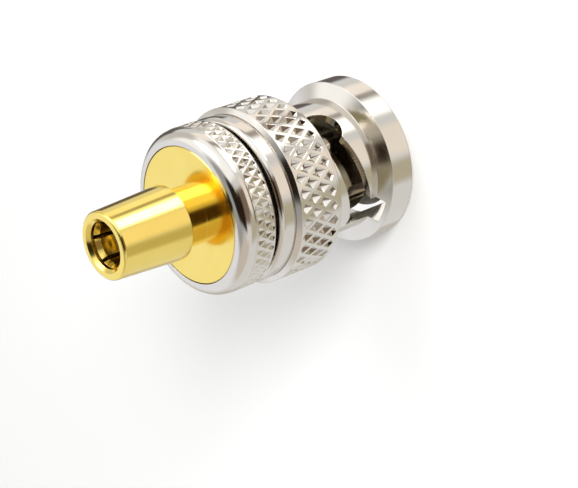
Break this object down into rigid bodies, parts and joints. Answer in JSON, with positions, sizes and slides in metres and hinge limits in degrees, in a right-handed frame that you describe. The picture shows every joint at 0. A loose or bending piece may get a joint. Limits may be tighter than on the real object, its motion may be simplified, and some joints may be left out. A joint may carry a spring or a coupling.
{
  "type": "coaxial adapter",
  "caption": "Coaxial adapter with a knurled bayonet coupling nut at one end and a gold-plated push-on plug with slotted spring fingers at the other.",
  "frame": {"origin": "on the axis, at the front face of the bayonet nut's ring, which the adapter stands on", "axes": "+Z along the axis, from the bayonet end up to the push-on end"},
  "size_m": [0.0144, 0.0144, 0.0262],
  "materials": {
    "nickel": "bright nickel plate on brass",
    "gold": "polished gold plate on brass",
    "spring_steel": "spring steel strip",
    "ptfe": "turned PTFE",
    "silicone": "moulded silicone"
  },
  "bodies": {
    "adapter": {"plug_body": "nickel", "outer_contact": "nickel", "gasket": "silicone", "bnc_insulator": "ptfe", "centre_pin": "gold", "wave_washer": "spring_steel", "rear_collar": "nickel", "smb_body": "gold", "smb_sleeve": "gold", "smb_insulator": "ptfe", "smb_socket": "gold"},
    "spring_seat": {"thrust_washer": "spring_steel"},
    "nut": {"coupling_nut": "nickel", "retaining_ring": "spring_steel"}
  },
  "joints": [
    {"name": "nut_pull", "type": "slide", "parent": "adapter", "child": "spring_seat", "axis": [0, 0, -1], "range_m": [0, 0.0005], "stiffness_N_per_m": 1500, "springref_m": -0.002, "deforming": ["wave_washer"]},
    {"name": "nut_turn", "type": "hinge", "parent": "spring_seat", "child": "nut", "pos_m": [0, 0, 0.007], "axis": [0, 0, 1], "continuous": true}
  ]
}
